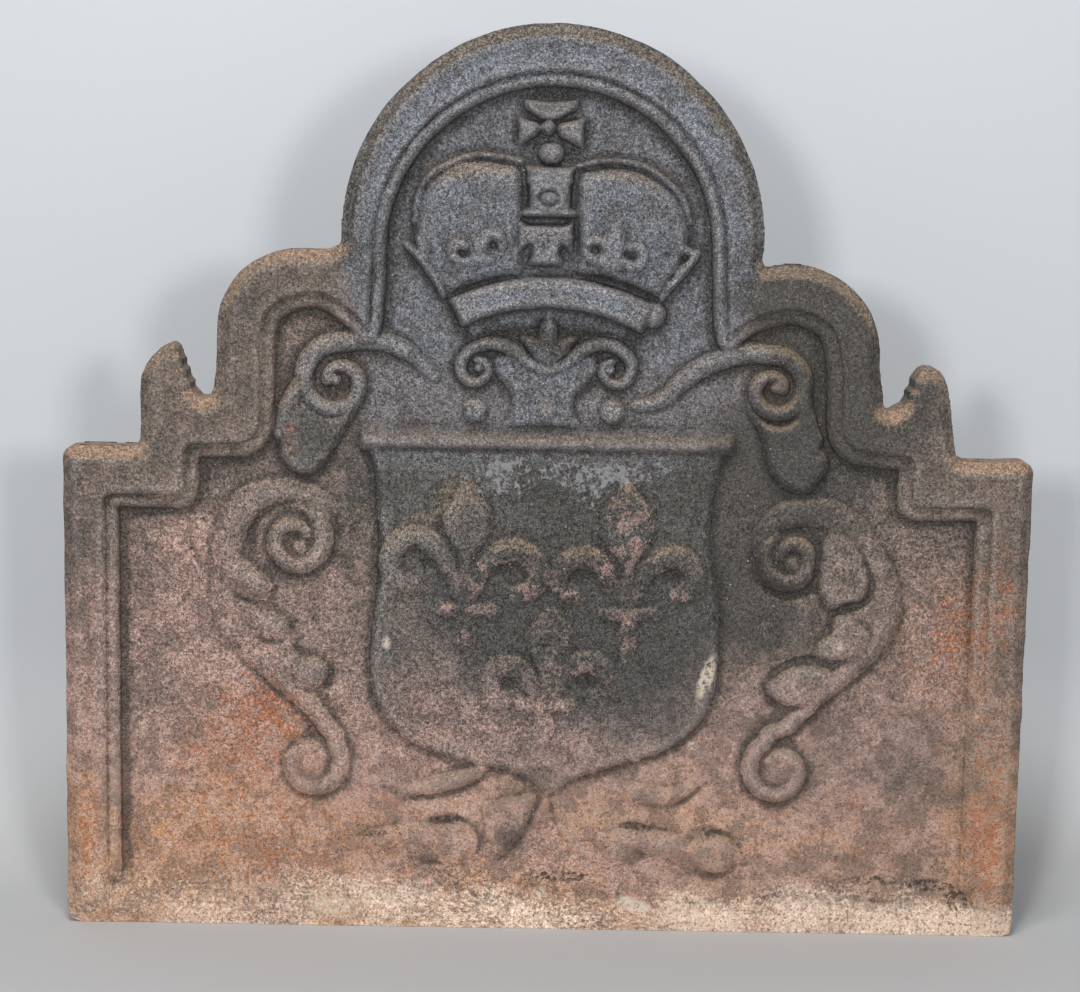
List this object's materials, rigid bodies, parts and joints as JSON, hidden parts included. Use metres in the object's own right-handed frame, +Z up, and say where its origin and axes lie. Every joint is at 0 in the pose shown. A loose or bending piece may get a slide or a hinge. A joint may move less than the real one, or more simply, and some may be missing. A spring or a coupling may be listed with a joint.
{
  "type": "fireback",
  "caption": "Cast iron fireback that stands upright at the back of a hearth: arched, lobed outline with a moulded rim, crown, shield with fleurs-de-lis and scrolls.",
  "frame": {"origin": "middle of the plate's underside, in the plane half way through the plate", "axes": "+X to the viewer's right along the width, +Y back through the plate to the masonry, +Z up; the ornament faces -Y"},
  "size_m": [0.64, 0.0314, 0.604],
  "materials": {
    "iron_graphite": "bare sand cast iron with a dull graphite sheen",
    "iron_rim": "brown heat-worn cast iron, matt and grainy",
    "iron_field": "mauve-brown cast iron field with orange rust bloom",
    "iron_sooty": "sooty dark cast iron, matt",
    "iron_rusty": "rusty cast iron under pale lime and ash crust"
  },
  "bodies": {
    "root": {"base_plate": "iron_field", "side_rim_left": "iron_rim", "side_rim_right": "iron_rim", "shoulder_rim_left": "iron_rim", "shoulder_rim_right": "iron_rim", "ear_rim_left": "iron_rim", "ear_rim_right": "iron_rim", "lobe_rim_left": "iron_rim", "lobe_rim_right": "iron_rim", "arch_rim": "iron_graphite", "rim_bead_left": "iron_rim", "rim_bead_right": "iron_rim", "arch_bead": "iron_graphite", "crown_circlet": "iron_graphite", "crown_lining": "iron_sooty", "crown_cap_left": "iron_graphite", "crown_cap_right": "iron_graphite", "crown_band": "iron_rim", "crown_jewel": "iron_rim", "crown_orb": "iron_rim", "crown_cross": "iron_rim", "circlet_cross": "iron_graphite", "fleuron_left": "iron_graphite", "fleuron_right": "iron_graphite", "half_fleuron_left": "iron_graphite", "half_fleuron_right": "iron_graphite", "bracket_stem": "iron_graphite", "bracket_volute_left": "iron_graphite", "bracket_volute_right": "iron_graphite", "bracket_palmette": "iron_graphite", "ledge_pearl_left": "iron_graphite", "ledge_pearl_middle": "iron_graphite", "ledge_pearl_right": "iron_graphite", "strap_left": "iron_graphite", "strap_right": "iron_graphite", "tongue_left": "iron_sooty", "tongue_right": "iron_sooty", "shield_ledge": "iron_rim", "shield": "iron_sooty", "fleur_left": "iron_sooty", "fleur_right": "iron_sooty", "fleur_foot": "iron_sooty", "upper_volute_left": "iron_field", "upper_volute_right": "iron_field", "acanthus_left": "iron_field", "acanthus_right": "iron_field", "lower_volute_left": "iron_field", "lower_volute_right": "iron_field", "side_pearl_left": "iron_field", "side_pearl_right": "iron_field", "foot_stem_left": "iron_rusty", "foot_stem_right": "iron_rusty", "foot_leaf_left": "iron_rusty", "foot_leaf_right": "iron_rusty", "foot_roll_left": "iron_rusty", "foot_roll_right": "iron_rusty"}
  },
  "joints": []
}
